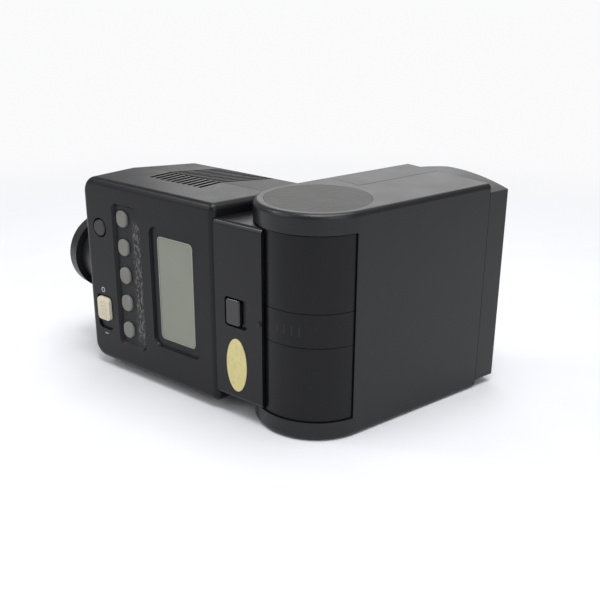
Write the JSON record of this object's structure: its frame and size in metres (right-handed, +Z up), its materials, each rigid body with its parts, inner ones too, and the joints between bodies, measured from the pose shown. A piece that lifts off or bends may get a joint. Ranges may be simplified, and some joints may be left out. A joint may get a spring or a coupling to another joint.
{
  "type": "speedlight flash",
  "caption": "Speedlight flash lying on its side: dark casing with keypad panel, swivelling neck, tilting head with zooming reflector, shoe foot with lock ring",
  "frame": {"origin": "Centre of the underside of the bounding box, with the flash lying on its side as it rests.", "axes": "+X from the shoe foot to the top of the head, +Y towards the light, +Z up across the width of the flash."},
  "size_m": [0.1274, 0.1083, 0.0756],
  "materials": {
    "dark_casing": null,
    "inner_plastic": null,
    "key_rubber": null,
    "pale_plastic": null,
    "clear_glass": null,
    "plain_steel": null,
    "bright_aluminium": null
  },
  "bodies": {
    "body": {"rear_shell": "dark_casing", "front_shell": "dark_casing", "shell_screws": "plain_steel", "lcd_window": "clear_glass", "lcd_module": "clear_glass", "main_board": "inner_plastic", "keypad_mat": "key_rubber", "aa_cells": "bright_aluminium", "battery_tray": "inner_plastic", "cell_springs": "plain_steel", "inverter_transformer": "inner_plastic", "foot_block": "dark_casing", "foot_plate": "plain_steel", "foot_contacts": "plain_steel"},
    "door_bar": {"door_hinge_bar": "plain_steel"},
    "door": {"battery_door": "dark_casing", "door_contacts": "plain_steel"},
    "lock_ring_body": {"lock_ring": "dark_casing"},
    "lock_pin_body": {"lock_pin": "plain_steel"},
    "test_button_body": {"test_button": "key_rubber"},
    "power_switch_body": {"power_switch": "pale_plastic"},
    "neck": {"neck_shell": "dark_casing", "neck_label": "pale_plastic", "drum_upper": "dark_casing", "drum_lower": "dark_casing", "main_capacitor": "bright_aluminium", "capacitor_cradles": "inner_plastic", "swivel_retainer": "plain_steel"},
    "lock_button_body": {"lock_button": "dark_casing"},
    "head": {"head_top_shell": "dark_casing", "head_bottom_shell": "dark_casing", "head_screws": "plain_steel", "front_frame": "dark_casing", "fresnel_lens": "pale_plastic", "hinge_cap_upper": "dark_casing", "hinge_cap_lower": "dark_casing", "tilt_scale_ring": "dark_casing", "guide_rods": "plain_steel", "zoom_motor": "plain_steel", "trigger_board": "inner_plastic"},
    "zoom": {"zoom_carriage": "inner_plastic", "reflector": "bright_aluminium", "flash_tube": "clear_glass", "tube_boots": "key_rubber"},
    "zoom_screw": {"lead_screw": "plain_steel"},
    "button_1": {"panel_button_1": "key_rubber"},
    "button_2": {"panel_button_2": "key_rubber"},
    "button_3": {"panel_button_3": "key_rubber"},
    "button_4": {"panel_button_4": "key_rubber"},
    "button_5": {"panel_button_5": "key_rubber"}
  },
  "joints": [
    {"name": "head_swivel", "type": "hinge", "parent": "body", "child": "neck", "pos_m": [0.02195, -0.02132, 0.0378], "axis": [1, 0, 0], "range_deg": [-90, 180]},
    {"name": "head_tilt", "type": "hinge", "parent": "neck", "child": "head", "pos_m": [0.04325, -0.01352, 0.0378], "axis": [0, 0, -1], "range_deg": [0, 90]},
    {"name": "tilt_release", "type": "slide", "parent": "neck", "child": "lock_button_body", "axis": [-0.23, 0.9732, 0], "range_m": [0, 0.0015], "stiffness_N_per_m": 600},
    {"name": "zoom_slide", "type": "slide", "parent": "head", "child": "zoom", "axis": [0, 1, 0], "range_m": [0, 0.0135]},
    {"name": "zoom_drive", "type": "hinge", "parent": "head", "child": "zoom_screw", "pos_m": [0.02805, 0.02648, 0.0458], "axis": [0, 1, 0], "range_deg": [-10, 1640]},
    {"name": "door_slide", "type": "slide", "parent": "body", "child": "door_bar", "axis": [-0.9732, -0.23, 0], "range_m": [0, 0.006]},
    {"name": "door_swing", "type": "hinge", "parent": "door_bar", "child": "door", "pos_m": [-0.00713, -0.00344, 0.068], "axis": [0.9732, 0.23, 0], "range_deg": [-95, 0]},
    {"name": "lock_ring_turn", "type": "hinge", "parent": "body", "child": "lock_ring_body", "pos_m": [-0.05675, -0.03842, 0.0378], "axis": [1, 0, 0], "range_deg": [0, 75]},
    {"name": "lock_pin_slide", "type": "slide", "parent": "body", "child": "lock_pin_body", "axis": [-1, 0, 0], "range_m": [0, 0.0016]},
    {"name": "test_press", "type": "slide", "parent": "body", "child": "test_button_body", "axis": [-0.23, 0.9732, 0], "range_m": [0, 0.0008], "stiffness_N_per_m": 500},
    {"name": "power_slide", "type": "slide", "parent": "body", "child": "power_switch_body", "axis": [0, 0, -1], "range_m": [0, 0.003]},
    {"name": "button_1_press", "type": "slide", "parent": "body", "child": "button_1", "axis": [-0.23, 0.9732, 0], "range_m": [0, 0.0008], "stiffness_N_per_m": 500},
    {"name": "button_2_press", "type": "slide", "parent": "body", "child": "button_2", "axis": [-0.23, 0.9732, 0], "range_m": [0, 0.0008], "stiffness_N_per_m": 500},
    {"name": "button_3_press", "type": "slide", "parent": "body", "child": "button_3", "axis": [-0.23, 0.9732, 0], "range_m": [0, 0.0008], "stiffness_N_per_m": 500},
    {"name": "button_4_press", "type": "slide", "parent": "body", "child": "button_4", "axis": [-0.23, 0.9732, 0], "range_m": [0, 0.0008], "stiffness_N_per_m": 500},
    {"name": "button_5_press", "type": "slide", "parent": "body", "child": "button_5", "axis": [-0.23, 0.9732, 0], "range_m": [0, 0.0008], "stiffness_N_per_m": 500}
  ],
  "couplings": [
    {"joint": "zoom_drive", "follows": "zoom_slide", "rad_per_m": 2094.4},
    {"joint": "lock_pin_slide", "follows": "lock_ring_turn", "m_per_rad": 0.00114}
  ]
}
